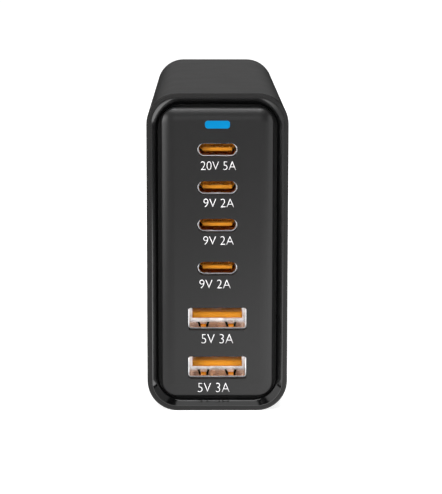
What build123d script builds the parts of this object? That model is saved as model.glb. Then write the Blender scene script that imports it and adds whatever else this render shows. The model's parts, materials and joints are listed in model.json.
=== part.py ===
from build123d import *
import math
import os

# Six-socket desktop charger: an upright moulded body with four USB-C and two USB-A sockets stacked in
# its front, a status light above them and a two-pin mains inlet low in its back.
# Millimetres. The origin is the middle of the underside. X runs to the right seen from the front, the
# sockets look along -Y and Z is up. A depth is measured back from the front rim.

# Clearances
PRESS_GAP = 0.05            # parts pressed or welded together
SLIDE_GAP = 0.15            # parts that slide into place
SOCKET_GAP = 0.05           # round each socket in the plate and the frame
PART_GAP = 1.5              # between neighbours on the board

# Moulded housing
WALL = 1.9
BACK_WALL = 2.2
BODY_CORNER_R = 6.8
SIDE_DRAFT = 0.44           # by which each wide side leans in towards the back
BACK_EDGE = 1.2             # bevel round the back
RIM_EDGE = 0.2              # bevel round the front
BEVEL_ANGLE = 45
LIP = 1.0                   # rim in front, where the wall is thinned to take the frame
RIB_THICK = 1.0             # rails that hold the main board
RIB_HEIGHT = 2.4

# Front frame and face plate
BAND_LAND = 0.1             # flat edge of the frame inside the rim
BAND_WIDTH = 1.35           # sloping gloss band
BAND_DEPTH = 1.35
BAND_CORNER_R = 5.0         # inner corner of the band, which makes it wider there
PLATE_GAP = 0.68            # dark groove round the plate
PLATE_THICK = 2.4
CROWN_WIDTH = 3.0           # soft border of the plate
CROWN_R = 6.0               # its curve, seen in section
CROWN_EDGE = 0.25           # bevel where the border meets the side
CROWN_CORNER_R = 0.4        # corner of the flat middle of the plate
FLOOR_THICK = 1.4
ARM_THICK = 1.2             # arms that reach back from the frame to the port board
ARM_RISE = 12.0
ARM_SPACING = 36.0

# Status light
LIGHT_WIDTH = 5.4
LIGHT_HEIGHT = 1.65
LIGHT_CORNER_R = 0.6
LIGHT_FLANGE = 0.5
LIGHT_FLANGE_THICK = 0.7
LIGHT_STEM_INSET = 0.3
LIGHT_AIR = 0.2
CHIP_WIDTH = 3.0
CHIP_HEIGHT = 1.4
CHIP_THICK = 0.9

# Socket stack, from the top of the body down to its base
TOP_TO_LIGHT = 6.9
LIGHT_TO_USB_C = 5.6
USB_C_PITCH = 8.35
USB_C_LAST_PITCH = 9.6
USB_C_TO_USB_A = 11.35
USB_A_PITCH = 11.05
USB_A_TO_BASE = 9.8

# Sockets: folded sheet shells, moulded tongues, plated contacts
SOCKET_RECESS = 2.0
SOCKET_LENGTH = 9.0
USB_C_SHEET = 0.2
USB_C_WIDTH = 8.34
USB_C_HEIGHT = 2.56
USB_C_CAVITY = 5.5
USB_C_TONGUE_WIDTH = 6.5
USB_C_TONGUE_THICK = 0.7
USB_C_TONGUE_SETBACK = 0.2
USB_C_ROOT_LENGTH = 1.2
USB_C_ROOT_STEP = 0.3
USB_C_CONTACT_PITCH = 0.5
USB_C_CONTACT_SITES = (1, 4, 5, 6, 7, 8, 9, 12)
USB_C_CONTACT_WIDTH = 0.25
USB_C_CONTACT_LENGTH = 3.0
USB_C_CONTACT_THICK = 0.06
USB_A_SHEET = 0.2
USB_A_WIDTH = 12.5
USB_A_HEIGHT = 4.6
USB_A_CORNER_R = 0.4
USB_A_CAVITY = 8.3
USB_A_TONGUE_WIDTH = 11.1
USB_A_TONGUE_THICK = 1.3
USB_A_TONGUE_DROP = 1.25
USB_A_TONGUE_SETBACK = 0.5
USB_A_TONGUE_BEVEL = 0.3
USB_A_CONTACT_X = (-3.5, -1.0, 1.0, 3.5)
USB_A_CONTACT_WIDTH = 1.0
USB_A_CONTACT_LENGTH = 6.4
USB_A_CONTACT_THICK = 0.12
FINGER_X = 3.07             # spring fingers in the top and bottom of each USB-A shell
FINGER_ROOT = 1.95
FINGER_TIP = 1.1
FINGER_LENGTH = 6.2
FINGER_SETBACK = 0.9
FINGER_NOSE = 1.3           # end of the finger that is turned back to the wall
FINGER_SLOT = 0.42
FINGER_END_GAP = 0.12
FINGER_BEND = 0.4

# Boards
PORT_BOARD_THICK = 1.2
BOARD_THICK = 1.6
SOLDER_ROOM = 3.2
LINK_SIZE = 2.5
LINK_LENGTH = 24.0

# Mains inlet
LOBE_R = 4.35
LOBE_OFFSET = 3.0
INLET_WALL = 1.5
INLET_CORNER_R = 4.5
RECESS_DEPTH = 12.4
INLET_FLOOR = 2.2
INLET_LIP = 1.2
INLET_TO_BASE = 20.0
PIN_R = 1.2
PIN_SHANK = 1.6
PIN_SPACING = 8.6
PIN_SETBACK = 1.6
PIN_TAIL = 2.5
PIN_LEG = 1.0
PIN_LEG_PROUD = 0.4
TAIL_ROOM = 8.6

# Wound parts: a ferrite core round a taped winding, on a moulded bobbin
YOKE = 5.0
SIDE_LEG = 4.2
CENTRE_LEG = 8.0
CORE_THICK = 12.0
WINDING_GAP = 0.3
WINDING_BULGE = 2.5
BOBBIN_PLATE = 1.2
TRANSFORMER_DEPTH = 26.0
TRANSFORMER_RISE = 30.0
PFC_DEPTH = 22.0
PFC_RISE = 25.0
CHOKE_DEPTH = 15.0
CHOKE_RISE = 17.0
CHOKE_LEG = 3.6
CHOKE_THICK = 5.0
CHOKE_BULGE = 1.8

# Other parts on the boards: depth, rise and height above the board
BULK_D = 16.0
BULK_TALL = 20.0
BULK_COUNT = 2
BULK_GAP = 1.0
BRIDGE = (15.0, 4.0, 11.0)
BRIDGE_SINK = (15.0, 1.5, 17.0)
X_CAPACITOR = (8.0, 15.0, 13.0)
FUSE = (4.0, 8.5, 8.0)
Y_CAPACITOR = (4.0, 7.5, 9.0)
OUTPUT_CAP_D = 6.3
OUTPUT_CAP_TALL = 9.0
OUTPUT_CAP_COUNT = 2
CONVERTER_THICK = 1.0
CONVERTER_RISE = 52.0
CONVERTER_TALL = 16.0
INDUCTOR = (5.6, 7.0, 7.0)
INDUCTOR_COUNT = 5
INDUCTOR_STAND = 4.0
SINK_BASE = 1.2
SINK_FIN = 1.0
SINK_FIN_LENGTH = 4.0
SINK_FIN_COUNT = 5
SINK_FIN_PITCH = 4.0
SINK_TALL = 14.0
SWITCH = (8.0, 8.0, 0.9)
SWITCH_COUNT = 3
SWITCH_PITCH = 18.0
SPREADER_THICK = 1.0
INSULATION_THICK = 0.4
SHEET_END_GAP = 2.0
PAD_DEPTH = 12.0
PAD_RISE = 18.0

# Body size and the main planes, from what the body has to hold
BAND_INSET = LIP + PRESS_GAP + BAND_LAND + BAND_WIDTH
PLATE_INSET = BAND_INSET + PLATE_GAP
INLET_WIDTH = 2 * (LOBE_OFFSET + LOBE_R + INLET_WALL)
INLET_HEIGHT = 2 * (LOBE_R + INLET_WALL)
INLET_DEPTH = RECESS_DEPTH + INLET_FLOOR
BODY_WIDTH = INLET_WIDTH + 2 * (BOARD_THICK + SOLDER_ROOM + WALL)
USB_A_HEIGHTS = (USB_A_TO_BASE + USB_A_PITCH, USB_A_TO_BASE)
USB_C_LOWEST = USB_A_HEIGHTS[0] + USB_C_TO_USB_A
USB_C_THIRD = USB_C_LOWEST + USB_C_LAST_PITCH
USB_C_HEIGHTS = (USB_C_THIRD + 2 * USB_C_PITCH, USB_C_THIRD + USB_C_PITCH, USB_C_THIRD, USB_C_LOWEST)
LIGHT_Z = USB_C_HEIGHTS[0] + LIGHT_TO_USB_C
BODY_HEIGHT = LIGHT_Z + TOP_TO_LIGHT
FLOOR_BACK = PLATE_THICK + FLOOR_THICK
PORT_BOARD = SOCKET_RECESS + SOCKET_LENGTH
PORT_BOARD_BACK = PORT_BOARD + PORT_BOARD_THICK
CONVERTER = PORT_BOARD_BACK + PART_GAP + INDUCTOR[0]
OUTPUT_COLUMN = CONVERTER + CONVERTER_THICK + PART_GAP
TRANSFORMER_COLUMN = OUTPUT_COLUMN + OUTPUT_CAP_D + PART_GAP
BULK_COLUMN = TRANSFORMER_COLUMN + TRANSFORMER_DEPTH + PART_GAP
FILTER_COLUMN = BULK_COLUMN + BULK_D + PART_GAP
BODY_DEPTH = FILTER_COLUMN + TAIL_ROOM + INLET_DEPTH
BACK_INSIDE = BODY_DEPTH - BACK_WALL
BOARD_FACE = -INLET_WIDTH / 2
BOARD_BACK = BOARD_FACE - BOARD_THICK
WALL_INSIDE = BODY_WIDTH / 2 - WALL
SHELF = WALL + RIB_HEIGHT + PART_GAP
FILTER_SHELF = INLET_TO_BASE + INLET_HEIGHT / 2 + INLET_LIP + PART_GAP
CORE_STAND = BOBBIN_PLATE + WINDING_GAP + WINDING_BULGE
TRANSFORMER_TOP = BOARD_FACE + CORE_STAND + CORE_THICK + WINDING_BULGE


def at(depth):
    """The y of the plane this far behind the front rim."""
    return depth - BODY_DEPTH / 2


def section(outline, depth):
    """An outline drawn in X and Z, placed at a depth."""
    return Plane.XZ.offset(-at(depth)) * outline


def slab(outline, near, far):
    """An outline drawn in X and Z, solid from one depth to another."""
    return extrude(section(outline, far), far - near)


def rounded(width, height, radius):
    """A rounded rectangle in the middle of the body."""
    return Pos(0, BODY_HEIGHT / 2) * RectangleRounded(width, height, radius)


def body_outline(inset):
    """The body's rounded section in front, smaller by the inset on every side."""
    return rounded(BODY_WIDTH - 2 * inset, BODY_HEIGHT - 2 * inset, BODY_CORNER_R - inset)


def drafted_body():
    """The solid outside of the body: the wide sides lean in towards the back, and both ends are bevelled."""
    sides_end = BODY_DEPTH - BACK_EDGE
    lean = Vector(-SIDE_DRAFT, sides_end - RIM_EDGE, 0)
    right = Pos(BODY_WIDTH / 4, BODY_HEIGHT / 2) * Rectangle(BODY_WIDTH / 2, BODY_HEIGHT)
    half = extrude(section(body_outline(0) & right, RIM_EDGE), lean.length, dir=lean.normalized())
    rim = extrude(section(body_outline(0), RIM_EDGE), RIM_EDGE, taper=BEVEL_ANGLE)
    narrow = rounded(BODY_WIDTH - 2 * SIDE_DRAFT, BODY_HEIGHT, BODY_CORNER_R)
    back = extrude(section(narrow, sides_end), BACK_EDGE, dir=(0, 1, 0), taper=BEVEL_ANGLE)
    return half + mirror(half, Plane.YZ) + rim + back


def inner_floor(x):
    """Height of the floor inside the housing at x; it rises in the rounded corners."""
    into_corner = max(0.0, abs(x) - (BODY_WIDTH / 2 - BODY_CORNER_R))
    return BODY_CORNER_R - math.sqrt((BODY_CORNER_R - WALL) ** 2 - into_corner ** 2)


def on_board(depth, height):
    """A plane on the parts side of the main board: across is depth, up is Z, out is X."""
    return Plane(origin=(BOARD_FACE, at(depth), height), x_dir=(0, 1, 0), z_dir=(1, 0, 0))


def board_block(depth, height, size, stand=0.0):
    """A block on the main board, from its near lower corner."""
    corner = Box(*size, align=(Align.MIN, Align.MIN, Align.MIN))
    return on_board(depth, height) * Pos(0, 0, stand) * corner


def usb_c_outline(grow):
    """A USB-C opening, grown outwards all round."""
    return SlotOverall(USB_C_WIDTH + 2 * grow, USB_C_HEIGHT + 2 * grow)


def usb_a_outline(grow):
    """A USB-A opening, grown outwards all round."""
    return RectangleRounded(USB_A_WIDTH + 2 * grow, USB_A_HEIGHT + 2 * grow, USB_A_CORNER_R + grow)


def light_outline(grow):
    """The status light's window, grown outwards all round."""
    window = RectangleRounded(LIGHT_WIDTH + 2 * grow, LIGHT_HEIGHT + 2 * grow, LIGHT_CORNER_R + grow)
    return Pos(0, LIGHT_Z) * window


def light_block(grow):
    """The square-cornered part of the light guide, larger than its window by this all round."""
    return Pos(0, LIGHT_Z) * Rectangle(LIGHT_WIDTH + 2 * grow, LIGHT_HEIGHT + 2 * grow)


def socket_outlines():
    """The cut-out round every socket, at its place in the front."""
    small = [Pos(0, height) * usb_c_outline(USB_C_SHEET + SOCKET_GAP) for height in USB_C_HEIGHTS]
    large = [Pos(0, height) * usb_a_outline(USB_A_SHEET + SOCKET_GAP) for height in USB_A_HEIGHTS]
    return small + large


def board_rails():
    """Two pairs of rails, on the floor and under the top, that hold the main board's edges."""
    near = PORT_BOARD_BACK + PART_GAP
    inner_x = (BOARD_BACK - SLIDE_GAP - RIB_THICK, BOARD_FACE + SLIDE_GAP)
    full = WALL + RIB_HEIGHT
    low = [Pos(x + RIB_THICK / 2, full / 2) * Rectangle(RIB_THICK, full) for x in inner_x]
    high = [Pos(0, BODY_HEIGHT - full) * rail for rail in low]
    rails = Sketch() + low + high
    return slab(rails & body_outline(WALL / 2), near, BODY_DEPTH - BACK_WALL / 2)


def housing():
    """One moulded cup: rounded sides, a back with the inlet's opening, and a thin rim in front."""
    cup = drafted_body() - slab(body_outline(LIP), 0, FLOOR_BACK)
    cup -= slab(body_outline(WALL), FLOOR_BACK, BACK_INSIDE)
    cup += board_rails()
    return cup - slab(inlet_outline(PRESS_GAP), BACK_INSIDE, BODY_DEPTH)


def frame_arms():
    """Four flat arms along the side walls, from the frame's floor back to the port board."""
    x = WALL_INSIDE - PRESS_GAP - ARM_THICK / 2
    middle = BODY_HEIGHT / 2
    spots = [(side * x, middle + rise * ARM_SPACING / 2) for side in (-1, 1) for rise in (-1, 1)]
    arms = Sketch() + [Pos(*spot) * Rectangle(ARM_THICK, ARM_RISE) for spot in spots]
    return slab(arms, FLOOR_BACK, PORT_BOARD)


def front_frame():
    """The gloss moulding: a sloping band, a floor for the plate and arms for the port board."""
    band = body_outline(BAND_INSET - BAND_WIDTH)
    pocket = rounded(BODY_WIDTH - 2 * BAND_INSET, BODY_HEIGHT - 2 * BAND_INSET, BAND_CORNER_R)
    frame = slab(body_outline(LIP + PRESS_GAP), 0, FLOOR_BACK)
    frame -= loft([section(band, 0), section(pocket, BAND_DEPTH)], ruled=True)
    frame -= slab(pocket, BAND_DEPTH, PLATE_THICK)
    for outline in socket_outlines():
        place = outline.bounding_box()
        window = Pos(0, place.center().Y) * Rectangle(place.size.X, place.size.Y)
        frame -= slab(window, PLATE_THICK, FLOOR_BACK)
    flange_back = PLATE_THICK + LIGHT_FLANGE_THICK
    frame -= slab(light_block(LIGHT_FLANGE + PRESS_GAP), PLATE_THICK, flange_back)
    frame -= slab(light_block(SLIDE_GAP - LIGHT_STEM_INSET), flange_back, FLOOR_BACK)
    return frame + frame_arms()


def crown_profile():
    """Section of the plate's border, outwards from its corner's axis and forwards from its back."""
    outer = CROWN_CORNER_R + CROWN_WIDTH
    curve_end = outer - CROWN_EDGE
    curve_z = PLATE_THICK - CROWN_R + math.sqrt(CROWN_R ** 2 - (CROWN_WIDTH - CROWN_EDGE) ** 2)
    soft = RadiusArc((CROWN_CORNER_R, PLATE_THICK), (curve_end, curve_z), CROWN_R)
    shoulder = (outer, curve_z - CROWN_EDGE)
    back = [(outer, 0), (CROWN_CORNER_R, 0), (CROWN_CORNER_R, PLATE_THICK)]
    rest = Polyline((curve_end, curve_z), shoulder, *back)
    return make_face(Curve() + [soft, rest])


def crown_ring(width, height):
    """The plate's border: a quarter, with its corner turned and its sides straight, mirrored twice."""
    x = width / 2 - CROWN_WIDTH - CROWN_CORNER_R
    up = height / 2 - CROWN_WIDTH - CROWN_CORNER_R
    axis_foot = (x, at(PLATE_THICK), BODY_HEIGHT / 2 + up)
    side = Plane(origin=axis_foot, x_dir=(1, 0, 0), z_dir=(0, 0, -1)) * crown_profile()
    top = Plane(origin=axis_foot, x_dir=(0, 0, 1), z_dir=(1, 0, 0)) * crown_profile()
    corner = revolve(side, Axis(axis_foot, (0, -1, 0)), 90)
    quarter = corner + extrude(side, up) + extrude(top, -x)
    half = quarter + mirror(quarter, Plane.YZ)
    return half + mirror(half, Plane.XY.offset(BODY_HEIGHT / 2))


def face_plate():
    """The satin plate: flat in the middle, softly rounded at its border, cut out for the sockets."""
    width = BODY_WIDTH - 2 * PLATE_INSET
    height = BODY_HEIGHT - 2 * PLATE_INSET
    flat = rounded(width - 2 * CROWN_WIDTH, height - 2 * CROWN_WIDTH, CROWN_CORNER_R)
    plate = slab(flat, 0, PLATE_THICK) + crown_ring(width, height)
    for cut in socket_outlines():
        plate -= slab(cut, 0, PLATE_THICK)
    return plate - slab(light_outline(PRESS_GAP), 0, PLATE_THICK)


def led_light_guide():
    """The status light: a window flush with the plate, a flange behind it and a stem to the chip."""
    flange_back = PLATE_THICK + LIGHT_FLANGE_THICK
    guide = slab(light_outline(0), 0, PLATE_THICK)
    guide += slab(light_block(LIGHT_FLANGE), PLATE_THICK, flange_back)
    return guide + slab(light_block(-LIGHT_STEM_INSET), flange_back, PORT_BOARD - CHIP_THICK - LIGHT_AIR)


def led_chip():
    """The light source on the port board."""
    return slab(Pos(0, LIGHT_Z) * Rectangle(CHIP_WIDTH, CHIP_HEIGHT), PORT_BOARD - CHIP_THICK, PORT_BOARD)


def usb_c_shell(height):
    """A drawn USB-C shell, open from the front to the port board."""
    return slab(Pos(0, height) * (usb_c_outline(USB_C_SHEET) - usb_c_outline(0)), SOCKET_RECESS, PORT_BOARD)


def finger_plan(x, side_gap, end_gap):
    """A spring finger seen from above, wide at its root and narrow at its tip, with room round it."""
    tip = at(SOCKET_RECESS + FINGER_SETBACK)
    root = tip + FINGER_LENGTH
    near = tip - end_gap
    tip_half = FINGER_TIP / 2 + side_gap
    root_half = FINGER_ROOT / 2 + side_gap
    corners = [(x - tip_half, near), (x + tip_half, near), (x + root_half, root), (x - root_half, root)]
    return extrude(Polygon(*corners, align=None), BODY_HEIGHT)


def finger_strip(x, wall_z, bend):
    """The bent strip that a finger is cut from, in a shell wall that starts at this height."""
    tip = at(SOCKET_RECESS + FINGER_SETBACK)
    line = [(tip + FINGER_LENGTH, wall_z), (tip + FINGER_NOSE, wall_z + bend), (tip, wall_z)]
    raised = [(y, z + USB_A_SHEET) for y, z in reversed(line)]
    return extrude(Plane.YZ.offset(x) * Polygon(*line, *raised, align=None), FINGER_ROOT / 2, both=True)


def usb_a_shell(height):
    """A USB-A shell: a back that the tongue passes through, and spring fingers bent in above and below."""
    back = SOCKET_RECESS + USB_A_CAVITY
    place = Pos(0, height)
    shell = slab(place * usb_a_outline(USB_A_SHEET), SOCKET_RECESS, PORT_BOARD)
    shell -= slab(place * usb_a_outline(0), SOCKET_RECESS, back)
    shell -= slab(usb_a_blade(height, PRESS_GAP), back, back + USB_A_SHEET)
    shell -= slab(place * Rectangle(USB_A_WIDTH, USB_A_HEIGHT), back + USB_A_SHEET, PORT_BOARD)
    bottom = height - USB_A_HEIGHT / 2 - USB_A_SHEET
    top = height + USB_A_HEIGHT / 2
    for wall_z, bend in ((bottom, FINGER_BEND), (top, -FINGER_BEND)):
        wall = Pos(0, 0, wall_z + USB_A_SHEET / 2) * Box(USB_A_WIDTH, BODY_DEPTH, USB_A_SHEET)
        for x in (-FINGER_X, FINGER_X):
            shell -= finger_plan(x, FINGER_SLOT, FINGER_END_GAP) & wall
            shell += finger_strip(x, wall_z, bend) & finger_plan(x, 0, 0)
    return shell


def usb_c_tongue(height):
    """A USB-C insulator: a block at the back of the shell, a stepped root and a thin tongue."""
    place = Pos(0, height)
    base = SOCKET_RECESS + USB_C_CAVITY
    half_height = USB_C_HEIGHT / 2 - PRESS_GAP
    end = USB_C_WIDTH / 2 - PRESS_GAP
    flat = end - half_height
    lower = [(-end, 0), (-flat, -half_height), (flat, -half_height)]
    block = Polygon(*lower, *[(-x, -y) for x, y in lower], align=None)
    root = Rectangle(USB_C_TONGUE_WIDTH, USB_C_TONGUE_THICK + 2 * USB_C_ROOT_STEP)
    blade = Rectangle(USB_C_TONGUE_WIDTH, USB_C_TONGUE_THICK)
    tongue = slab(place * block, base, PORT_BOARD)
    tongue += slab(place * root, base - USB_C_ROOT_LENGTH, base)
    return tongue + slab(place * blade, SOCKET_RECESS + USB_C_TONGUE_SETBACK, base)


def usb_c_contacts(height):
    """Plated contacts on both sides of a USB-C tongue."""
    middle = (USB_C_CONTACT_SITES[0] + USB_C_CONTACT_SITES[-1]) / 2
    offset = (USB_C_TONGUE_THICK + USB_C_CONTACT_THICK) / 2
    pad = Rectangle(USB_C_CONTACT_WIDTH, USB_C_CONTACT_THICK)
    across = [(site - middle) * USB_C_CONTACT_PITCH for site in USB_C_CONTACT_SITES]
    pads = [Pos(x, height + side) * pad for x in across for side in (-offset, offset)]
    far = SOCKET_RECESS + USB_C_CAVITY - USB_C_ROOT_LENGTH
    return slab(Sketch() + pads, far - USB_C_CONTACT_LENGTH, far)


def usb_a_tongue_underside(height):
    """Height of the face of a USB-A tongue that carries the contacts."""
    return height + USB_A_HEIGHT / 2 - USB_A_TONGUE_DROP - USB_A_TONGUE_THICK


def usb_a_blade(height, grow):
    """A USB-A tongue seen from the front, grown outwards all round."""
    z = usb_a_tongue_underside(height) + USB_A_TONGUE_THICK / 2
    return Pos(0, z) * Rectangle(USB_A_TONGUE_WIDTH + 2 * grow, USB_A_TONGUE_THICK + 2 * grow)


def usb_a_tongue(height):
    """A USB-A insulator: a bevelled tongue above the middle of the shell, rooted on the port board."""
    blade = slab(usb_a_blade(height, 0), SOCKET_RECESS + USB_A_TONGUE_SETBACK, PORT_BOARD)
    return chamfer(blade.faces().sort_by(Axis.Y)[0].edges(), USB_A_TONGUE_BEVEL)


def usb_a_contacts(height):
    """Four plated contacts under a USB-A tongue."""
    z = usb_a_tongue_underside(height) - USB_A_CONTACT_THICK / 2
    pads = [Pos(x, z) * Rectangle(USB_A_CONTACT_WIDTH, USB_A_CONTACT_THICK) for x in USB_A_CONTACT_X]
    far = SOCKET_RECESS + USB_A_CAVITY
    return slab(Sketch() + pads, far - USB_A_CONTACT_LENGTH, far)


def port_board():
    """The upright board behind the sockets, which its shells stand on; its corners are cut off."""
    inset = WALL + SLIDE_GAP
    board = Pos(0, BODY_HEIGHT / 2) * Rectangle(BODY_WIDTH - 2 * inset, BODY_HEIGHT - 2 * inset)
    return slab(chamfer(board.vertices(), BODY_CORNER_R - inset), PORT_BOARD, PORT_BOARD_BACK)


def main_board():
    """The board along one side of the body, pierced for the legs of the inlet's pins."""
    low = inner_floor(BOARD_BACK) + SLIDE_GAP
    size = (BACK_INSIDE - SLIDE_GAP - PORT_BOARD_BACK, BODY_HEIGHT - 2 * low, BOARD_THICK)
    board = board_block(PORT_BOARD_BACK, low, size, -BOARD_THICK)
    hole = Box(PIN_LEG + 2 * SLIDE_GAP, PIN_LEG + 2 * SLIDE_GAP, 2 * BOARD_THICK)
    for _, tail in pin_places():
        board -= on_board(BODY_DEPTH - INLET_DEPTH - tail + PIN_LEG / 2, INLET_TO_BASE) * hole
    return board


def board_link():
    """The strip that joins the main board to the port board."""
    low = (BODY_HEIGHT - LINK_LENGTH) / 2
    return board_block(PORT_BOARD_BACK, low, (LINK_SIZE, LINK_LENGTH, LINK_SIZE))


def inlet_outline(grow):
    """The face of the mains inlet, grown outwards all round."""
    face = RectangleRounded(INLET_WIDTH + 2 * grow, INLET_HEIGHT + 2 * grow, INLET_CORNER_R + grow)
    return Pos(0, INLET_TO_BASE) * face


def pin_places():
    """Each inlet pin's x and the length of its tail; the far one passes behind the near one."""
    return ((-PIN_SPACING / 2, PIN_TAIL), (PIN_SPACING / 2, PIN_TAIL + 2 * PIN_LEG + PART_GAP))


def ac_inlet_body():
    """The mains inlet: a figure-eight recess in a block that seats behind the back wall."""
    near = BODY_DEPTH - INLET_DEPTH
    block = Pos(0, INLET_TO_BASE) * Rectangle(INLET_WIDTH, INLET_HEIGHT + 2 * INLET_LIP)
    body = slab(block, near, BACK_INSIDE) + slab(inlet_outline(0), BACK_INSIDE, BODY_DEPTH)
    lobes = Sketch() + [Pos(x, INLET_TO_BASE) * Circle(LOBE_R) for x in (-LOBE_OFFSET, LOBE_OFFSET)]
    body -= slab(lobes, BODY_DEPTH - RECESS_DEPTH, BODY_DEPTH)
    hole = Rectangle(PIN_SHANK + 2 * PRESS_GAP, PIN_SHANK + 2 * PRESS_GAP)
    holes = [Pos(x, INLET_TO_BASE) * hole for x, _ in pin_places()]
    return body - slab(Sketch() + holes, near, BODY_DEPTH - RECESS_DEPTH)


def ac_inlet_pins():
    """Two round pins in the inlet, each on a square shank with a leg that turns into the main board."""
    pins = Part()
    shoulder = BODY_DEPTH - RECESS_DEPTH
    for x, tail in pin_places():
        near = BODY_DEPTH - INLET_DEPTH - tail
        place = Pos(x, INLET_TO_BASE)
        pins += slab(place * Circle(PIN_R), shoulder, BODY_DEPTH - PIN_SETBACK)
        pins += slab(place * Rectangle(PIN_SHANK, PIN_SHANK), near, shoulder)
        reach = x - (BOARD_BACK - PIN_LEG_PROUD)
        leg = Box(reach, PIN_LEG, PIN_LEG, align=(Align.MAX, Align.MIN, Align.CENTER))
        pins += Pos(x, at(near), INLET_TO_BASE) * leg
    return pins


def wound_part(depth, low, deep, rise):
    """A bobbin, a ferrite core and a taped winding, standing on the main board."""
    centre = on_board(depth + deep / 2, low + rise / 2)
    rail = Pos(0, (rise - SIDE_LEG) / 2) * Rectangle(deep, SIDE_LEG)
    rails = extrude(rail + mirror(rail, Plane.XZ), CORE_STAND)
    bobbin = extrude(Rectangle(deep, rise), BOBBIN_PLATE) + rails
    window_rise = (rise - CENTRE_LEG) / 2 - SIDE_LEG
    window = Pos(0, (CENTRE_LEG + window_rise) / 2) * Rectangle(deep - 2 * YOKE, window_rise)
    core = Pos(0, 0, CORE_STAND) * extrude(
        Rectangle(deep, rise) - window - mirror(window, Plane.XZ), CORE_THICK
    )
    wrap_rise = rise - 2 * (SIDE_LEG + WINDING_GAP)
    wrap = Rectangle(wrap_rise, CORE_THICK + 2 * WINDING_BULGE)
    hole = Rectangle(CENTRE_LEG + 2 * WINDING_GAP, CORE_THICK + 2 * WINDING_GAP)
    half_length = (deep - 2 * (YOKE + WINDING_GAP)) / 2
    lift = Pos(0, 0, CORE_STAND + CORE_THICK / 2)
    winding = lift * extrude(Plane.YZ * (wrap - hole), half_length, both=True)
    return centre * bobbin, centre * core, centre * winding


def emi_choke():
    """The mains filter choke: a square ferrite ring and a winding round each of two sides."""
    centre = on_board(FILTER_COLUMN + CHOKE_BULGE + CHOKE_DEPTH / 2, choke_low() + CHOKE_RISE / 2)
    window = Rectangle(CHOKE_DEPTH - 2 * CHOKE_LEG, CHOKE_RISE - 2 * CHOKE_LEG)
    core = Pos(0, 0, CHOKE_BULGE) * extrude(Rectangle(CHOKE_DEPTH, CHOKE_RISE) - window, CHOKE_THICK)
    wrap = Rectangle(CHOKE_LEG + 2 * CHOKE_BULGE, CHOKE_THICK + 2 * CHOKE_BULGE)
    hole = Rectangle(CHOKE_LEG + 2 * PRESS_GAP, CHOKE_THICK + 2 * PRESS_GAP)
    half_length = CHOKE_RISE / 2 - CHOKE_LEG - PRESS_GAP
    coil = extrude(Plane.XZ * (wrap - hole), half_length, both=True)
    leg_x = (CHOKE_DEPTH - CHOKE_LEG) / 2
    lift = CHOKE_BULGE + CHOKE_THICK / 2
    coils = Part() + [Pos(x, 0, lift) * coil for x in (-leg_x, leg_x)]
    return centre * core, centre * coils


def choke_low():
    """Height at which the filter choke starts, above the fuse and the capacitors beside it."""
    beside = FUSE[1] + PART_GAP + Y_CAPACITOR[1]
    return FILTER_SHELF + max(X_CAPACITOR[1], beside) + PART_GAP


def bulk_capacitor(number):
    """One of the row of tall smoothing capacitors, standing on the main board."""
    height = SHELF + BULK_D / 2 + number * (BULK_D + BULK_GAP)
    can = Pos(0, 0, BULK_TALL / 2) * Cylinder(BULK_D / 2, BULK_TALL)
    return on_board(BULK_COLUMN + BULK_D / 2, height) * can


def bridge_low():
    """Height at which the rectifier starts, above the row of smoothing capacitors."""
    return SHELF + BULK_COUNT * (BULK_D + BULK_GAP)


def output_capacitors():
    """The row of small capacitors behind the converter board."""
    can = Pos(0, 0, OUTPUT_CAP_TALL / 2) * Cylinder(OUTPUT_CAP_D / 2, OUTPUT_CAP_TALL)
    pitch = OUTPUT_CAP_D + PART_GAP
    depth = OUTPUT_COLUMN + OUTPUT_CAP_D / 2
    low = SHELF + OUTPUT_CAP_D / 2
    return Part() + [on_board(depth, low + row * pitch) * can for row in range(OUTPUT_CAP_COUNT)]


def output_heat_sink():
    """A finned sink above the output capacitors, its fins pointing back."""
    low = SHELF + OUTPUT_CAP_COUNT * (OUTPUT_CAP_D + PART_GAP)
    rise = (SINK_FIN_COUNT - 1) * SINK_FIN_PITCH + SINK_FIN
    corner = (Align.MIN, Align.MIN)
    fin = Rectangle(SINK_BASE + SINK_FIN_LENGTH, SINK_FIN, align=corner)
    comb = Rectangle(SINK_BASE, rise, align=corner)
    comb += [Pos(0, row * SINK_FIN_PITCH) * fin for row in range(SINK_FIN_COUNT)]
    return on_board(OUTPUT_COLUMN, low) * extrude(comb, SINK_TALL)


def converter_low():
    """Height at which the converter board starts, in the middle of the body."""
    return (BODY_HEIGHT - CONVERTER_RISE) / 2


def converter_inductors():
    """The row of moulded inductors on the front of the converter board."""
    pitch = CONVERTER_RISE / INDUCTOR_COUNT
    first = converter_low() + (pitch - INDUCTOR[1]) / 2
    block = board_block(CONVERTER - INDUCTOR[0], first, INDUCTOR, INDUCTOR_STAND)
    return Part() + [Pos(0, 0, row * pitch) * block for row in range(INDUCTOR_COUNT)]


def power_switches():
    """The row of flat power transistors on the solder side of the main board."""
    low = (BODY_HEIGHT - SWITCH[1]) / 2
    first = TRANSFORMER_COLUMN
    rows = [first + row * SWITCH_PITCH for row in range(SWITCH_COUNT)]
    return Part() + [board_block(depth, low, SWITCH, -BOARD_THICK - SWITCH[2]) for depth in rows]


def side_sheet(outer_x, thick):
    """A flat sheet along one side wall, between the wall's rounded corners."""
    near = PORT_BOARD_BACK + SHEET_END_GAP
    far = BACK_INSIDE - SHEET_END_GAP
    rise = BODY_HEIGHT - 2 * BODY_CORNER_R
    middle_x = math.copysign(abs(outer_x) - thick / 2, outer_x)
    return slab(Pos(middle_x, BODY_HEIGHT / 2) * Rectangle(thick, rise), near, far)


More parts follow.
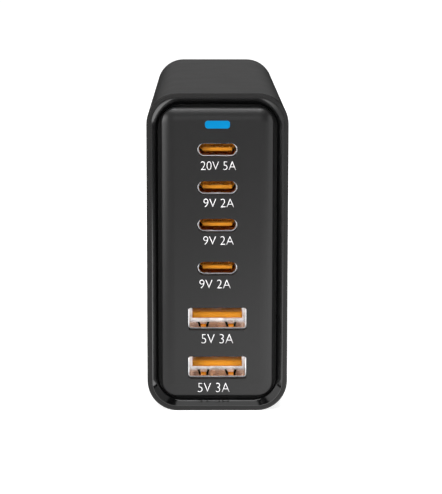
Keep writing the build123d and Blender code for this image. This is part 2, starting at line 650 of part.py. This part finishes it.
def thermal_pad():
    """The soft pad that carries the transformer's heat to the spreader."""
    thick = WALL_INSIDE - SPREADER_THICK - TRANSFORMER_TOP
    depth = TRANSFORMER_COLUMN + (TRANSFORMER_DEPTH - PAD_DEPTH) / 2
    low = SHELF + (TRANSFORMER_RISE - PAD_RISE) / 2
    return board_block(depth, low, (PAD_DEPTH, PAD_RISE, thick), TRANSFORMER_TOP - BOARD_FACE)


def front_pieces():
    """The moulded outside, the light and the six sockets."""
    pieces = {
        "housing": housing(),
        "front_frame": front_frame(),
        "face_plate": face_plate(),
        "led_light_guide": led_light_guide(),
        "led_chip": led_chip(),
    }
    for number, height in enumerate(USB_C_HEIGHTS, 1):
        pieces[f"usb_c_shell_{number}"] = usb_c_shell(height)
        pieces[f"usb_c_tongue_{number}"] = usb_c_tongue(height)
        pieces[f"usb_c_contacts_{number}"] = usb_c_contacts(height)
    for number, height in enumerate(USB_A_HEIGHTS, 1):
        pieces[f"usb_a_shell_{number}"] = usb_a_shell(height)
        pieces[f"usb_a_tongue_{number}"] = usb_a_tongue(height)
        pieces[f"usb_a_contacts_{number}"] = usb_a_contacts(height)
    return pieces


def wound_pieces():
    """The transformer and the two chokes."""
    pieces = {}
    pfc_low = SHELF + TRANSFORMER_RISE + PART_GAP
    transformer = wound_part(TRANSFORMER_COLUMN, SHELF, TRANSFORMER_DEPTH, TRANSFORMER_RISE)
    pfc_choke = wound_part(TRANSFORMER_COLUMN, pfc_low, PFC_DEPTH, PFC_RISE)
    for name, parts in (("transformer", transformer), ("pfc_choke", pfc_choke)):
        pieces[f"{name}_bobbin"], pieces[f"{name}_core"], pieces[f"{name}_winding"] = parts
    pieces["emi_choke_core"], pieces["emi_choke_winding"] = emi_choke()
    return pieces


def board_pieces():
    """The boards, the inlet and everything else that they carry."""
    fuse_depth = FILTER_COLUMN + X_CAPACITOR[0] + PART_GAP
    converter_size = (CONVERTER_THICK, CONVERTER_RISE, CONVERTER_TALL)
    pieces = {
        "port_board": port_board(),
        "main_board": main_board(),
        "board_link": board_link(),
        "ac_inlet_body": ac_inlet_body(),
        "ac_inlet_pins": ac_inlet_pins(),
        "fuse": board_block(fuse_depth, FILTER_SHELF, FUSE),
        "x_capacitor": board_block(FILTER_COLUMN, FILTER_SHELF, X_CAPACITOR),
        "y_capacitor": board_block(fuse_depth, FILTER_SHELF + FUSE[1] + PART_GAP, Y_CAPACITOR),
        "bridge_rectifier": board_block(BULK_COLUMN, bridge_low(), BRIDGE),
        "bridge_heat_sink": board_block(BULK_COLUMN, bridge_low() + BRIDGE[1], BRIDGE_SINK),
        "converter_board": board_block(CONVERTER, converter_low(), converter_size),
        "converter_inductors": converter_inductors(),
        "output_capacitors": output_capacitors(),
        "output_heat_sink": output_heat_sink(),
        "power_switches": power_switches(),
        "heat_spreader": side_sheet(WALL_INSIDE, SPREADER_THICK),
        "insulation_sheet": side_sheet(-WALL_INSIDE, INSULATION_THICK),
        "thermal_pad": thermal_pad(),
    }
    for number in range(BULK_COUNT):
        pieces[f"bulk_capacitor_{number + 1}"] = bulk_capacitor(number)
    return pieces


os.makedirs("parts", exist_ok=True)
for node, piece in {**front_pieces(), **wound_pieces(), **board_pieces()}.items():
    export_step(piece, f"parts/{node}.step")
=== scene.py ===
import json
import math

import bpy
from mathutils import Matrix, Vector


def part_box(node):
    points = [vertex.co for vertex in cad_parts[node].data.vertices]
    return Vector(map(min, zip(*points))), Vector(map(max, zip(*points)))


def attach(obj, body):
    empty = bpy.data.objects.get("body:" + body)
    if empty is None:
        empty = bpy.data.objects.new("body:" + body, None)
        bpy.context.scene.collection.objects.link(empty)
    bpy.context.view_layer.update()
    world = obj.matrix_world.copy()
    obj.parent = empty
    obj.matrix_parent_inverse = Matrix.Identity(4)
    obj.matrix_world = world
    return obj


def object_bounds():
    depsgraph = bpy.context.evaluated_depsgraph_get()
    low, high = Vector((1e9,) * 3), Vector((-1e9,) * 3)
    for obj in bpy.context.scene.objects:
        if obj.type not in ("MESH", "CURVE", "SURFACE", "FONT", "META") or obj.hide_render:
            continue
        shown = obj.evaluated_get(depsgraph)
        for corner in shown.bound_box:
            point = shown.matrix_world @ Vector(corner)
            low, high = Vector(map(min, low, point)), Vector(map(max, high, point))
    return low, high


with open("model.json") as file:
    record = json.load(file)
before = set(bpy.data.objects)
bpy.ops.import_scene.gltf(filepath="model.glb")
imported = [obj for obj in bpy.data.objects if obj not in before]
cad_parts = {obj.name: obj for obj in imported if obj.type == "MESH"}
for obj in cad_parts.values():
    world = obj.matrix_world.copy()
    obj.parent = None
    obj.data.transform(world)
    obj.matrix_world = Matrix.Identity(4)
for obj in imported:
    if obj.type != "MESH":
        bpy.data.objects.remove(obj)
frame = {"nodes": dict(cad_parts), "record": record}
cad_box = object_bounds()
nodes = frame["nodes"]
scene = bpy.context.scene
MM = 0.001
FRONT = cad_box[0].y


# Nodes that the materials share

NOISE_LOW, NOISE_HIGH = 0.3, 0.7
NOISE_ROUGH = 0.55


def new_material(name):
    """A node material, its tree and its shader."""
    material = bpy.data.materials.new(name)
    material.use_nodes = True
    tree = material.node_tree
    return material, tree, tree.nodes["Principled BSDF"]


def place(tree, stretch=(1, 1, 1)):
    """Places in the part's own frame, stretched along an axis for brushed or drawn surfaces."""
    coords = tree.nodes.new("ShaderNodeTexCoord")
    mapping = tree.nodes.new("ShaderNodeMapping")
    mapping.inputs["Scale"].default_value = stretch
    tree.links.new(coords.outputs["Object"], mapping.inputs["Vector"])
    return mapping.outputs["Vector"]


def axes(tree, kind):
    """The X, Y and Z of a place (Object) or of the way that the surface faces (Normal)."""
    coords = tree.nodes.new("ShaderNodeTexCoord")
    split = tree.nodes.new("ShaderNodeSeparateXYZ")
    tree.links.new(coords.outputs[kind], split.inputs[0])
    return split.outputs


def noise(tree, vector, size_mm, detail=3.0):
    """Noise whose features are about this large."""
    node = tree.nodes.new("ShaderNodeTexNoise")
    node.inputs["Scale"].default_value = 1 / (size_mm * MM)
    node.inputs["Detail"].default_value = detail
    node.inputs["Roughness"].default_value = NOISE_ROUGH
    tree.links.new(vector, node.inputs["Vector"])
    return node.outputs["Fac"]


def spread(tree, value, low, high):
    """The middle of a noise's range, spread from low to high."""
    node = tree.nodes.new("ShaderNodeMapRange")
    node.inputs["From Min"].default_value = NOISE_LOW
    node.inputs["From Max"].default_value = NOISE_HIGH
    node.inputs["To Min"].default_value = low
    node.inputs["To Max"].default_value = high
    tree.links.new(value, node.inputs["Value"])
    return node.outputs["Result"]


def ramp(tree, value, start, end, low, high):
    """A smooth run from one value at the start to another at the end."""
    node = tree.nodes.new("ShaderNodeMapRange")
    node.interpolation_type = "SMOOTHSTEP"
    node.inputs["From Min"].default_value = start
    node.inputs["From Max"].default_value = end
    node.inputs["To Min"].default_value = low
    node.inputs["To Max"].default_value = high
    tree.links.new(value, node.inputs["Value"])
    return node.outputs["Result"]


def maths(tree, operation, first, second):
    """Two values put together."""
    node = tree.nodes.new("ShaderNodeMath")
    node.operation = operation
    tree.links.new(first, node.inputs[0])
    tree.links.new(second, node.inputs[1])
    return node.outputs[0]


def compare(tree, operation, value, limit):
    """1 where the value passes the limit, 0 elsewhere."""
    node = tree.nodes.new("ShaderNodeMath")
    node.operation = operation
    node.inputs[1].default_value = limit
    tree.links.new(value, node.inputs[0])
    return node.outputs[0]


def two_tone(tree, share, first, second):
    """A colour that runs from one to another, each of them a colour or another node's output."""
    node = tree.nodes.new("ShaderNodeMix")
    node.data_type = "RGBA"
    tree.links.new(share, node.inputs[0])
    for color, socket in ((first, node.inputs[6]), (second, node.inputs[7])):
        if isinstance(color, bpy.types.NodeSocket):
            tree.links.new(color, socket)
        else:
            socket.default_value = (*color, 1)
    return node.outputs[2]


def bump(tree, shader, height, depth_mm):
    """Relief of this depth in the surface."""
    node = tree.nodes.new("ShaderNodeBump")
    node.inputs["Distance"].default_value = depth_mm * MM
    tree.links.new(height, node.inputs["Height"])
    tree.links.new(node.outputs["Normal"], shader.inputs["Normal"])


def shade(color, share):
    """A colour made darker or lighter."""
    return [c * share for c in color]


def uneven_tint(tree, value, color, uneven):
    """A colour that varies a little with a noise."""
    return two_tone(tree, spread(tree, value, 0.0, 1.0), shade(color, 1 - uneven), shade(color, 1 + uneven))


def uneven_gloss(tree, value, rough, uneven):
    """A roughness that varies a little with a noise."""
    return spread(tree, value, rough * (1 - uneven), rough * (1 + uneven))


# Plastics

CLOUD_MM = 7.0              # patches of slightly uneven colour and gloss
CLOUD_DETAIL = 4.0
GRAIN_DETAIL = 2.0
GLOSS_SHARE = 0.7           # unevenness of the gloss, against that of the colour

PLATE_UNEVEN = 0.04
PLATE_GLOSS_UNEVEN = 0.03
PLATE_FACING = -0.5         # the plate's front faces further forward than this
# painted shade: how dark the walls of the plate's cut-outs are painted
CUT_OUT_PAINTED_SHADE = 0.3
CUT_OUT_ROUGH = 0.7

# painted shade: how dark the deep groove is painted
GROOVE_PAINTED_SHADE = 0.2
GROOVE_ROUGH = 0.95
POLISH_MM = 1.2             # faint waves in the polished frame
POLISH_DEPTH_MM = 0.0015


def plastic(name, color, rough, grain_mm, depth_mm, uneven=0.1, specular=0.5):
    """Moulded plastic: fine grain, with colour and gloss slightly uneven."""
    material, tree, shader = new_material(name)
    vector = place(tree)
    cloud = noise(tree, vector, CLOUD_MM, CLOUD_DETAIL)
    tree.links.new(uneven_tint(tree, cloud, color, uneven), shader.inputs["Base Color"])
    tree.links.new(uneven_gloss(tree, cloud, rough, GLOSS_SHARE * uneven), shader.inputs["Roughness"])
    shader.inputs["Specular IOR Level"].default_value = specular
    bump(tree, shader, noise(tree, vector, grain_mm, GRAIN_DETAIL), depth_mm)
    return material


def satin(name, color, rough, grain_mm, depth_mm, specular):
    """Satin plastic in front, dull on the walls of its cut-outs, with painted shade darkening them."""
    material, tree, shader = new_material(name)
    vector = place(tree)
    front = compare(tree, "LESS_THAN", axes(tree, "Normal")["Y"], PLATE_FACING)
    cloud = noise(tree, vector, CLOUD_MM, CLOUD_DETAIL)
    tint = uneven_tint(tree, cloud, color, PLATE_UNEVEN)
    # painted shade on faces that don't face forward, such as the walls of the cut-outs
    tree.links.new(two_tone(tree, front, shade(color, CUT_OUT_PAINTED_SHADE), tint), shader.inputs["Base Color"])
    dull = tree.nodes.new("ShaderNodeMapRange")
    dull.inputs["To Min"].default_value = CUT_OUT_ROUGH
    tree.links.new(front, dull.inputs["Value"])
    tree.links.new(uneven_gloss(tree, cloud, rough, PLATE_GLOSS_UNEVEN), dull.inputs["To Max"])
    tree.links.new(dull.outputs["Result"], shader.inputs["Roughness"])
    shader.inputs["Specular IOR Level"].default_value = specular
    bump(tree, shader, noise(tree, vector, grain_mm, GRAIN_DETAIL), depth_mm)
    return material


def gloss(name, color, rough, groove_mm):
    """Polished plastic, dull in the groove, which lies deeper than this behind the front, with painted
    shade darkening it.
    """
    material, tree, shader = new_material(name)
    groove = compare(tree, "GREATER_THAN", axes(tree, "Object")["Y"], FRONT + groove_mm * MM)
    # painted shade in the groove
    tree.links.new(two_tone(tree, groove, color, shade(color, GROOVE_PAINTED_SHADE)), shader.inputs["Base Color"])
    dull = tree.nodes.new("ShaderNodeMapRange")
    dull.inputs["To Min"].default_value = rough
    dull.inputs["To Max"].default_value = GROOVE_ROUGH
    tree.links.new(groove, dull.inputs["Value"])
    tree.links.new(dull.outputs["Result"], shader.inputs["Roughness"])
    bump(tree, shader, noise(tree, place(tree), POLISH_MM, GRAIN_DETAIL), POLISH_DEPTH_MM)
    return material


# Metals

LINE_MM = 0.12              # drawing and brushing lines
LINE_DEPTH_MM = 0.004
METAL_CLOUD_MM = 2.5
METAL_UNEVEN = 0.06
METAL_GLOSS_UNEVEN = 0.2
DRAWN = (1, 0.1, 1)         # lines that run from front to back
WOUND = (1, 6, 1)           # lines that follow each other closely along Y

SHELL_LINES = (1, 0.08, 1)
SHELL_LINE_DEPTH_MM = 0.0015
SHELL_FLOOR_FACING = (0.3, 0.8)     # how far up a shell's floor faces
FINGER_FACING = (-0.1, -0.25)       # how far forward its fingers face
SHELL_FLOOR_REFLECTION_MM = (6.5, 9.5)    # depth over which its painted reflection of the tongue fades
# painted reflection: the fingers are less metallic, so that their painted orange shows
FINGER_METAL = 0.2
LIP_FACING = (-0.5, -0.9)
LIP_ROUGHER = 0.12


def metal(name, color, rough, stretch=(1, 1, 1), uneven=METAL_UNEVEN):
    """Drawn or brushed metal: fine lines along one axis, gloss uneven."""
    material, tree, shader = new_material(name)
    lines = noise(tree, place(tree, stretch), LINE_MM)
    cloud = noise(tree, place(tree), METAL_CLOUD_MM)
    shader.inputs["Metallic"].default_value = 1.0
    tree.links.new(uneven_tint(tree, lines, color, uneven), shader.inputs["Base Color"])
    tree.links.new(uneven_gloss(tree, cloud, rough, METAL_GLOSS_UNEVEN), shader.inputs["Roughness"])
    bump(tree, shader, lines, LINE_DEPTH_MM)
    return material


def shell_steel(name, color, tongue_reflection, finger_reflection, rough):
    """Socket steel, with a painted reflection of the orange tongue above it: in its floor's colour, fading
    with depth, and stronger on its fingers.
    """
    material, tree, shader = new_material(name)
    lines = noise(tree, place(tree, SHELL_LINES), LINE_MM)
    facing = axes(tree, "Normal")
    level = ramp(tree, facing["Z"], *SHELL_FLOOR_FACING, 0.0, 1.0)
    finger = maths(tree, "MULTIPLY", level, ramp(tree, facing["Y"], *FINGER_FACING, 0.0, 1.0))
    near, far = [FRONT + depth * MM for depth in SHELL_FLOOR_REFLECTION_MM]
    # painted reflection of the tongue in the floor, fading with depth
    lit = maths(tree, "MULTIPLY", level, ramp(tree, axes(tree, "Object")["Y"], near, far, 1.0, 0.0))
    tint = two_tone(tree, lit, uneven_tint(tree, lines, color, METAL_UNEVEN), tongue_reflection)
    tree.links.new(two_tone(tree, finger, tint, finger_reflection), shader.inputs["Base Color"])
    tree.links.new(ramp(tree, finger, 0.0, 1.0, 1.0, FINGER_METAL), shader.inputs["Metallic"])
    cloud = noise(tree, place(tree), METAL_CLOUD_MM)
    lip = ramp(tree, facing["Y"], *LIP_FACING, 0.0, LIP_ROUGHER)
    rough_all = maths(tree, "ADD", uneven_gloss(tree, cloud, rough, METAL_GLOSS_UNEVEN), lip)
    tree.links.new(rough_all, shader.inputs["Roughness"])
    bump(tree, shader, lines, SHELL_LINE_DEPTH_MM)
    return material


# The lit window

GLOW = (0.0015, 0.285, 0.64), (0.002, 0.31, 0.69)
GLOW_STRENGTH = 0.95
DIFFUSER = (0.0005, 0.008, 0.02), (0.0005, 0.01, 0.025)
DIFFUSER_ROUGH = (0.42, 0.5)
DIFFUSER_SPECULAR = 0.03
DIFFUSER_CLOUD_MM = 3.0
DIFFUSER_GRAIN_MM = 0.2
DIFFUSER_DEPTH_MM = 0.002


def status_blue(name):
    """A lit blue diffuser, slightly uneven."""
    material, tree, shader = new_material(name)
    cloud = noise(tree, place(tree), DIFFUSER_CLOUD_MM, GRAIN_DETAIL)
    tree.links.new(two_tone(tree, spread(tree, cloud, 0.0, 1.0), *GLOW), shader.inputs["Emission Color"])
    shader.inputs["Emission Strength"].default_value = GLOW_STRENGTH
    tree.links.new(two_tone(tree, cloud, *DIFFUSER), shader.inputs["Base Color"])
    tree.links.new(spread(tree, cloud, *DIFFUSER_ROUGH), shader.inputs["Roughness"])
    shader.inputs["Specular IOR Level"].default_value = DIFFUSER_SPECULAR
    bump(tree, shader, noise(tree, place(tree), DIFFUSER_GRAIN_MM), DIFFUSER_DEPTH_MM)
    return material


# The finish of each material slot: its kind, then colour, roughness, grain and relief in mm and so on

STEEL = (0.82, 0.82, 0.84)
# painted reflections of the orange tongue, in the socket floor and on its fingers
STEEL_TONGUE_REFLECTION = (0.72, 0.38, 0.19)
STEEL_FINGER_REFLECTION = (0.85, 0.32, 0.035)
FINISHES = {
    "housing_plastic": (plastic, (0.008, 0.0078, 0.0077), 0.42, 0.16, 0.0025, 0.04, 0.16),
    "gloss_frame": (gloss, (0.0012, 0.0012, 0.0013), 0.08, 1.4),
    "satin_plate": (satin, (0.0042, 0.0041, 0.0042), 0.34, 0.12, 0.004, 0.25),
    "status_light": (status_blue,),
    "light_chip": (plastic, (0.8, 0.74, 0.42), 0.4, 0.3, 0.01),
    "socket_steel": (shell_steel, STEEL, STEEL_TONGUE_REFLECTION, STEEL_FINGER_REFLECTION, 0.26),
    "socket_insulator": (plastic, (0.76, 0.285, 0.02), 0.38, 0.1, 0.004, 0.1, 0.1),
    "contact_plating": (metal, (0.9, 0.62, 0.24), 0.25, DRAWN),
    "circuit_board": (plastic, (0.006, 0.035, 0.015), 0.4, 0.6, 0.02, 0.25),
    "black_moulding": (plastic, (0.014, 0.014, 0.0145), 0.45, 0.2, 0.01),
    "inlet_pin": (metal, (0.76, 0.75, 0.72), 0.22, DRAWN),
    "ferrite": (plastic, (0.045, 0.045, 0.048), 0.7, 0.3, 0.03, 0.2),
    "taped_winding": (plastic, (0.72, 0.46, 0.03), 0.3, 1.5, 0.05),
    "wire_winding": (metal, (0.72, 0.3, 0.12), 0.3, WOUND, 0.25),
    "capacitor_sleeve": (plastic, (0.012, 0.012, 0.02), 0.25, 0.8, 0.01),
    "capacitor_can": (metal, (0.75, 0.75, 0.76), 0.3),
    "film_capacitor": (plastic, (0.72, 0.5, 0.02), 0.4, 0.4, 0.02),
    "filter_capacitor": (plastic, (0.03, 0.16, 0.45), 0.4, 0.4, 0.02),
    "component_block": (plastic, (0.02, 0.02, 0.021), 0.55, 0.3, 0.02),
    "heat_sink": (metal, (0.78, 0.78, 0.79), 0.35, DRAWN),
    "insulation": (plastic, (0.55, 0.53, 0.45), 0.6, 0.5, 0.02),
    "soft_pad": (plastic, (0.3, 0.35, 0.4), 0.8, 0.4, 0.03),
}
looks = {slot: make(slot, *values) for slot, (make, *values) in FINISHES.items()}
for part in frame["record"]["subparts"]:
    mesh = nodes[part["node"]].data
    mesh.materials.clear()
    mesh.materials.append(looks[part["material_slot"]])


# Printed ratings under the sockets: name, words, then middle, height, letter height and width in mm

PLATE_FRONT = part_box("face_plate")[0].y
PRINT_THICK = 0.02 * MM
PRINT_WEIGHT = -0.018       # thins the strokes
PRINTS = (
    ("print_usb_c_1", "20V 5A", 0.2, 55.1, 1.9, 7.7),
    ("print_usb_c_2", "9V 2A", 0.3, 46.85, 1.9, 6.7),
    ("print_usb_c_3", "9V 2A", 0.25, 38.5, 1.9, 6.7),
    ("print_usb_c_4", "9V 2A", -0.5, 28.75, 1.95, 6.9),
    ("print_usb_a_1", "5V 3A", 0.0, 16.4, 2.1, 7.1),
    ("print_usb_a_2", "5V 3A", -0.8, 5.3, 2.1, 7.1),
)


def flat_letters(name, words):
    """The words as a flat mesh, of no set size."""
    curve = bpy.data.curves.new(name, "FONT")
    curve.body = words
    curve.offset = PRINT_WEIGHT
    text = bpy.data.objects.new(name, curve)
    scene.collection.objects.link(text)
    bpy.context.view_layer.update()
    mesh = bpy.data.meshes.new_from_object(text.evaluated_get(bpy.context.evaluated_depsgraph_get()))
    bpy.data.objects.remove(text)
    return mesh


def printed(name, words, middle_mm, height_mm, cap_mm, width_mm, material):
    """Painted characters on the plate, with the middle of the line at this place under a socket."""
    mesh = flat_letters(name, words)
    low = Vector([min(v.co[i] for v in mesh.vertices) for i in range(3)])
    high = Vector([max(v.co[i] for v in mesh.vertices) for i in range(3)])
    middle = (low + high) / 2
    across = width_mm * MM / (high.x - low.x)
    up = cap_mm * MM / (high.y - low.y)
    for vertex in mesh.vertices:
        x = (vertex.co.x - middle.x) * across + middle_mm * MM
        z = (vertex.co.y - middle.y) * up + height_mm * MM
        vertex.co = (x, PLATE_FRONT - PRINT_THICK, z)
    mesh.materials.clear()
    mesh.materials.append(material)
    piece = bpy.data.objects.new(name, mesh)
    scene.collection.objects.link(piece)
    solidify = piece.modifiers.new("thick", "SOLIDIFY")
    solidify.thickness = PRINT_THICK
    solidify.offset = -1
    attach(piece, "root")


white_print = plastic("white_print", (0.68, 0.67, 0.68), 0.5, 0.08, 0.003, 0.04)
for row in PRINTS:
    printed(*row, white_print)


# Studio, in metres

MIDDLE = (0, 0, 0.036)      # where the panels aim
SEEN = ("Is Camera Ray", "Is Transmission Ray")
MIRRORED = ("Is Glossy Ray",)
MIRROR_LOW = 0.08           # what reflections see along the horizon

FLOOR_SIZE = 12
FLOOR_MIDDLE = (0, 2, 0)
FLOOR_COLOR = (0.5, 0.5, 0.5, 1)
FLOOR_GLOW = 0.8            # how white the floor shows near the object, where its shadow is
FLOOR_NEAR = 0.15
FLOOR_FAR = 0.6
PATCH_SPOT = (0.13, -0.12, 0)       # painted pool of light on the floor, which only reflections see
PATCH_NEAR = 0.09
PATCH_FAR = 0.215
PATCH_LIGHT = 3.0

SKY_LIGHT = 0.3
SKY_TOP = 0.01
SKY_LOW = 0.05
SKY_HIGH = 0.4

# Panels of light: name, place, width and height, brightness
SOFTBOXES = (
    ("key", (-0.04, -0.62, 0.86), (0.6, 0.3), 27.0),
    ("left", (-0.53, -0.48, 0.15), (0.3, 0.3), 12.0),
    ("right", (0.53, -0.48, 0.15), (0.3, 0.3), 4.0),
    ("side", (-0.66, -0.19, 0.49), (0.5, 0.95), 1.5),
    ("fill", (0.66, -0.19, 0.49), (0.5, 0.95), 0.5),
    ("front", (0.0, -1.1, 0.25), (0.4, 0.2), 5.0),
    ("top", (0.0, -0.16, 0.95), (1.3, 0.36), 1.5),
    ("back", (0.0, 0.75, 0.3), (0.5, 0.3), 0.5),
    ("rear_left", (-0.8, 0.45, 0.12), (0.6, 0.24), 4.5),
    ("rear_right", (0.8, 0.45, 0.12), (0.6, 0.24), 4.5),
)


def ray_share(tree, kinds):
    """1 for a ray of one of these kinds, 0 for any other."""
    path = tree.nodes.new("ShaderNodeLightPath")
    total = path.outputs[kinds[0]]
    for kind in kinds[1:]:
        total = maths(tree, "MAXIMUM", total, path.outputs[kind])
    return total


def distance_to(tree, spot):
    """How far a place on the floor lies from a spot."""
    geometry = tree.nodes.new("ShaderNodeNewGeometry")
    away = tree.nodes.new("ShaderNodeVectorMath")
    away.operation = "DISTANCE"
    away.inputs[1].default_value = spot
    tree.links.new(geometry.outputs["Position"], away.inputs[0])
    return away.outputs["Value"]


def floor_material():
    """A pale floor that keeps the object's shadow, shows as white and is mirrored as a table with a painted
    pool of light on it.
    """
    material = bpy.data.materials.new("floor_white")
    material.use_nodes = True
    tree = material.node_tree
    tree.nodes.clear()
    matt = tree.nodes.new("ShaderNodeBsdfDiffuse")
    matt.inputs["Color"].default_value = FLOOR_COLOR
    white = ramp(tree, distance_to(tree, (0, 0, 0)), FLOOR_NEAR, FLOOR_FAR, FLOOR_GLOW, 1.0)
    seen = maths(tree, "MULTIPLY", ray_share(tree, SEEN), white)
    # painted pool of light, glowing for reflections only
    patch = ramp(tree, distance_to(tree, PATCH_SPOT), PATCH_NEAR, PATCH_FAR, PATCH_LIGHT, MIRROR_LOW)
    mirrored = maths(tree, "MULTIPLY", ray_share(tree, MIRRORED), patch)
    glow = tree.nodes.new("ShaderNodeEmission")
    tree.links.new(maths(tree, "ADD", seen, mirrored), glow.inputs["Strength"])
    both = tree.nodes.new("ShaderNodeAddShader")
    tree.links.new(matt.outputs[0], both.inputs[0])
    tree.links.new(glow.outputs[0], both.inputs[1])
    out = tree.nodes.new("ShaderNodeOutputMaterial")
    tree.links.new(both.outputs[0], out.inputs["Surface"])
    return material


def floor():
    """A wide plane under the object."""
    bpy.ops.mesh.primitive_plane_add(size=FLOOR_SIZE, location=FLOOR_MIDDLE)
    plane = bpy.context.object
    plane.name = "floor"
    plane.data.materials.append(floor_material())


def sky():
    """Even light all round, white where it is seen and dim where it is mirrored."""
    world = bpy.data.worlds.new("studio")
    scene.world = world
    world.use_nodes = True
    tree = world.node_tree
    low_sky = ramp(tree, axes(tree, "Generated")["Z"], SKY_LOW, SKY_HIGH, MIRROR_LOW, SKY_TOP)
    lit = tree.nodes.new("ShaderNodeMix")
    lit.inputs[2].default_value = SKY_LIGHT
    tree.links.new(ray_share(tree, MIRRORED), lit.inputs[0])
    tree.links.new(low_sky, lit.inputs[3])
    seen = tree.nodes.new("ShaderNodeMix")
    seen.inputs[3].default_value = 1.0
    tree.links.new(ray_share(tree, SEEN), seen.inputs[0])
    tree.links.new(lit.outputs[0], seen.inputs[2])
    tree.links.new(seen.outputs[0], tree.nodes["Background"].inputs["Strength"])


def softbox(name, spot, size, radiance):
    """A flat panel of light of this brightness, aimed at the middle of the object."""
    data = bpy.data.lights.new(name, "AREA")
    data.shape = "RECTANGLE"
    data.size, data.size_y = size
    data.energy = radiance * math.pi * size[0] * size[1]
    lamp = bpy.data.objects.new(name, data)
    scene.collection.objects.link(lamp)
    lamp.location = spot
    lamp.rotation_euler = (Vector(MIDDLE) - Vector(spot)).to_track_quat("-Z", "Y").to_euler()


floor()
sky()
for row in SOFTBOXES:
    softbox(*row)


# Camera, as fitted to the photograph

CAMERA_SIDE_MM = -3.1
CAMERA_AWAY_MM = 439.2      # in front of the object
CAMERA_HEIGHT_MM = 111.9
PITCH = math.radians(9.6695)
YAW = math.radians(0.508)
ROLL = math.radians(0.07)
FOCAL_PX = 2022.6
PICTURE_TALL_PX = 494
SENSOR_MM = 36.0
CLIP_START = 0.01
camera = bpy.data.objects.new("camera", bpy.data.cameras.new("camera"))
scene.collection.objects.link(camera)
camera.data.sensor_width = SENSOR_MM
camera.data.lens = SENSOR_MM * FOCAL_PX / PICTURE_TALL_PX
camera.data.clip_start = CLIP_START
ahead = Vector((math.sin(YAW) * math.cos(PITCH), math.cos(YAW) * math.cos(PITCH), -math.sin(PITCH)))
turn = ahead.to_track_quat("-Z", "Y").to_matrix() @ Matrix.Rotation(ROLL, 3, "Z")
camera.location = (CAMERA_SIDE_MM * MM, FRONT - CAMERA_AWAY_MM * MM, CAMERA_HEIGHT_MM * MM)
camera.rotation_euler = turn.to_euler()
scene.camera = camera
scene.view_settings.view_transform = "Standard"
